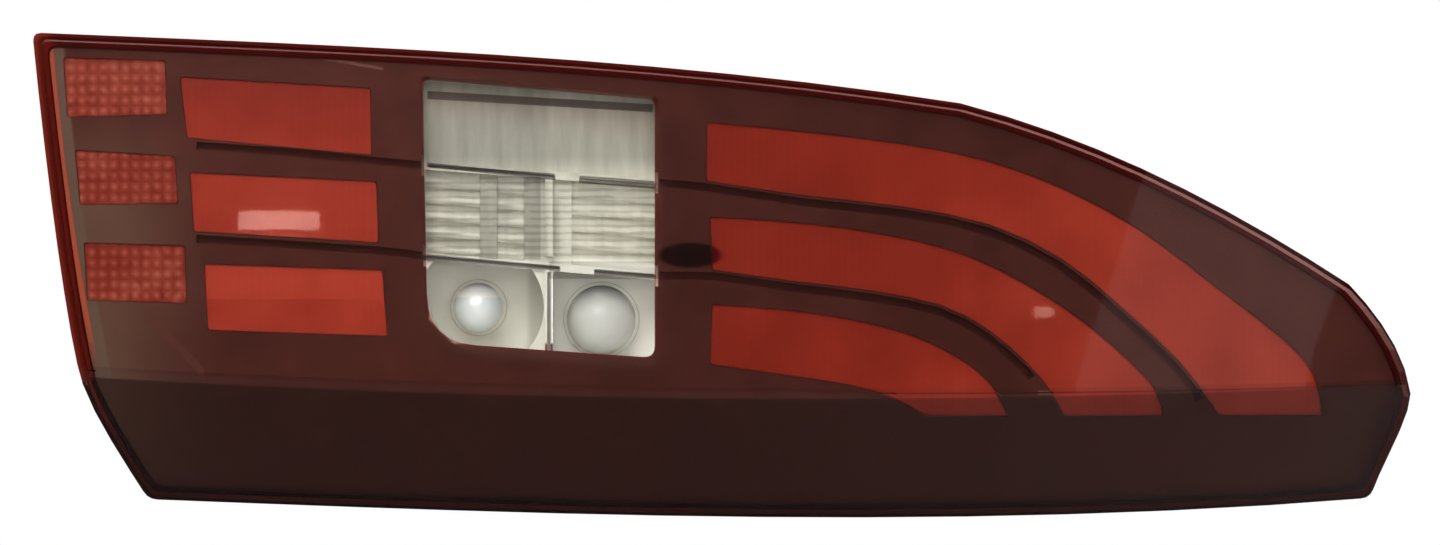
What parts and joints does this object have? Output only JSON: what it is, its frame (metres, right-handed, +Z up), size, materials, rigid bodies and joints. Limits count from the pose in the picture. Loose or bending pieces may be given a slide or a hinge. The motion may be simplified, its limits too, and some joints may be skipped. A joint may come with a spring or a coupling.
{
  "type": "tail light cluster",
  "caption": "Rear lamp cluster with a domed smoked red lens, a clear window over its bulbs, lit red bars, reflex reflectors, a sealed housing with studs, connector and LED driver.",
  "frame": {"origin": "centre of the rectangle of the four mounting studs, on the plane where their collars meet the car body", "axes": "+X to the right seen from behind the car, towards the lamp's pointed outer end; +Y into the car body, along the studs; +Z up"},
  "size_m": [0.4597, 0.1482, 0.1611],
  "materials": {
    "smoked_red_lens": "glossy smoked red, see-through",
    "clear_lens": "glossy clear",
    "housing_plastic": "fine moulded grain",
    "glue": "matt",
    "bezel_plastic": "satin dark grey",
    "red_bar": "glossy red",
    "reflex_red": "glossy red over prisms",
    "silvered_plastic": "vacuum-coated satin silver",
    "white_plastic": "semi-gloss white",
    "board": "green solder mask",
    "led": "phosphor yellow",
    "screw_steel": "zinc-plated",
    "stud_steel": "zinc-plated",
    "silvered_glass": "silvered at the front",
    "bulb_glass": "clear",
    "bulb_brass": "nickelled brass",
    "filament_wire": "drawn wire",
    "holder_plastic": "grey, fine grain",
    "holder_rubber": "matt silicone",
    "connector_plastic": "smooth black",
    "terminal_brass": "tinned",
    "cast_aluminium": "die-cast",
    "seal_rubber": "matt",
    "foam": "closed-cell foam"
  },
  "bodies": {
    "root": {"outer_lens": "smoked_red_lens", "clear_window": "clear_lens", "housing": "housing_plastic", "glue_bead": "glue", "bezel": "bezel_plastic", "left_bar_top": "red_bar", "left_bar_middle": "red_bar", "left_bar_bottom": "red_bar", "right_bar_top": "red_bar", "right_bar_middle": "red_bar", "right_bar_bottom": "red_bar", "reflex_top": "reflex_red", "reflex_middle": "reflex_red", "reflex_bottom": "reflex_red", "reflector": "silvered_plastic", "left_light_box": "white_plastic", "right_light_box": "white_plastic", "left_led_board": "board", "right_led_board": "board", "left_leds": "led", "right_leds": "led", "light_screws": "screw_steel", "turn_bulb": "silvered_glass", "turn_bulb_base": "bulb_brass", "turn_bulb_holder": "holder_plastic", "turn_holder_seal": "holder_rubber", "reverse_bulb": "bulb_glass", "reverse_bulb_filament": "filament_wire", "reverse_bulb_base": "bulb_brass", "reverse_bulb_holder": "holder_plastic", "reverse_holder_seal": "holder_rubber", "connector_shell": "connector_plastic", "connector_terminals": "terminal_brass", "driver_case": "cast_aluminium", "driver_board": "board", "driver_seal": "seal_rubber", "driver_screws": "screw_steel", "mounting_studs": "stud_steel", "body_gasket": "foam", "vent_cap": "connector_plastic"}
  },
  "joints": []
}
